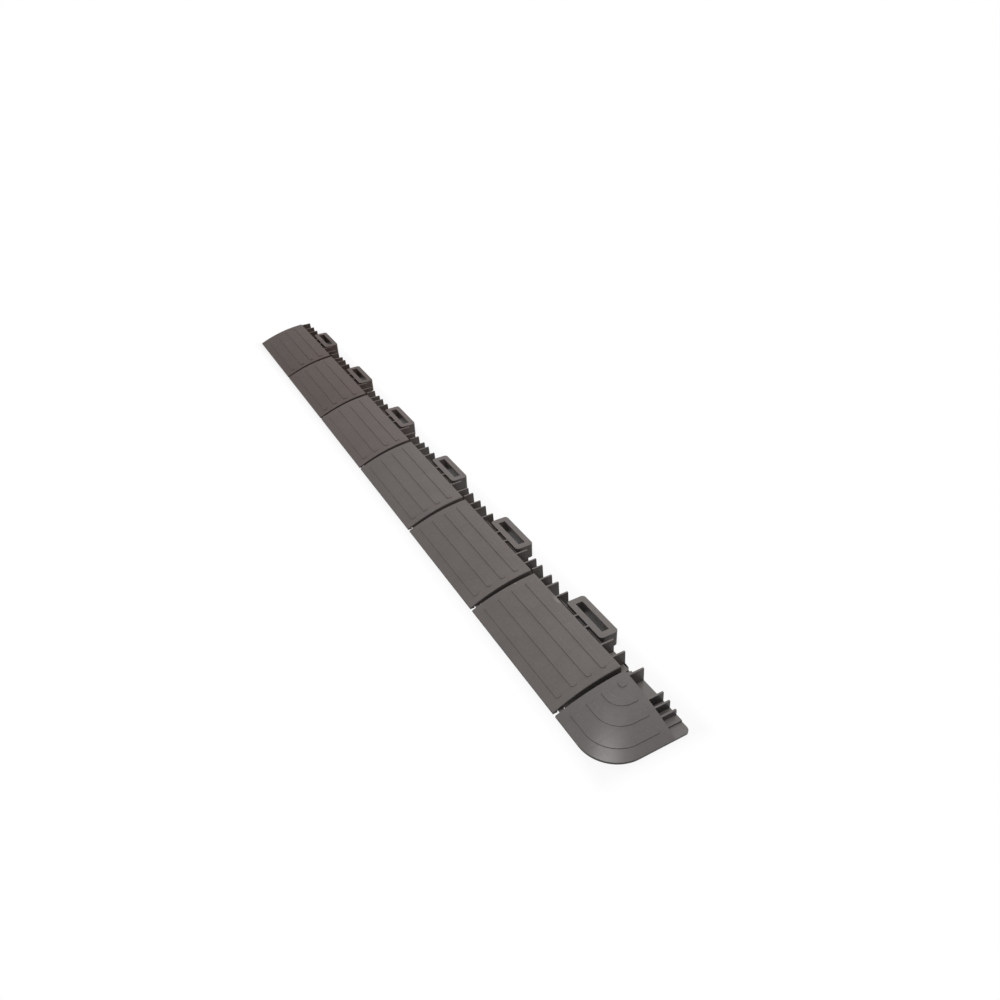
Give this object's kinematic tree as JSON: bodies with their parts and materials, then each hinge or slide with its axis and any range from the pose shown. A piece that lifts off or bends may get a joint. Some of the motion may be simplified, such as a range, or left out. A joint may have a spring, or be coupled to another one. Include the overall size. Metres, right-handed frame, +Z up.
{
  "type": "ramp edging strip for floor tiles",
  "caption": "Ramp edging strip for snap-together floor tiles: crowned ramps with tread bars, peg loops and fins behind, joined by snap studs, with a rounded outside corner.",
  "frame": {"origin": "middle of the strip's bounding box, on the floor", "axes": "+X along the strip from its free end to the corner, +Y from the thin front lip to the tile side, +Z up"},
  "size_m": [0.969, 0.0944, 0.019],
  "materials": {
    "moulding": "matte"
  },
  "bodies": {
    "starter": {"starter_ramp": "moulding"},
    "ramp_2": {"straight_ramp_2": "moulding"},
    "ramp_3": {"straight_ramp_3": "moulding"},
    "ramp_4": {"straight_ramp_4": "moulding"},
    "ramp_5": {"straight_ramp_5": "moulding"},
    "ramp_6": {"straight_ramp_6": "moulding"},
    "corner": {"corner_ramp": "moulding"}
  },
  "joints": [
    {"name": "snap_joint_1", "type": "hinge", "parent": "starter", "child": "ramp_2", "pos_m": [-0.36085, 0.02975, 0], "axis": [0, 0, 1], "range_deg": [-2, 2]},
    {"name": "snap_joint_2", "type": "hinge", "parent": "ramp_2", "child": "ramp_3", "pos_m": [-0.21085, 0.02975, 0], "axis": [0, 0, 1], "range_deg": [-2, 2]},
    {"name": "snap_joint_3", "type": "hinge", "parent": "ramp_3", "child": "ramp_4", "pos_m": [-0.06085, 0.02975, 0], "axis": [0, 0, 1], "range_deg": [-2, 2]},
    {"name": "snap_joint_4", "type": "hinge", "parent": "ramp_4", "child": "ramp_5", "pos_m": [0.08915, 0.02975, 0], "axis": [0, 0, 1], "range_deg": [-2, 2]},
    {"name": "snap_joint_5", "type": "hinge", "parent": "ramp_5", "child": "ramp_6", "pos_m": [0.23915, 0.02975, 0], "axis": [0, 0, 1], "range_deg": [-2, 2]},
    {"name": "snap_joint_6", "type": "hinge", "parent": "ramp_6", "child": "corner", "pos_m": [0.38915, 0.02975, 0], "axis": [0, 0, 1], "range_deg": [-2, 2]}
  ]
}
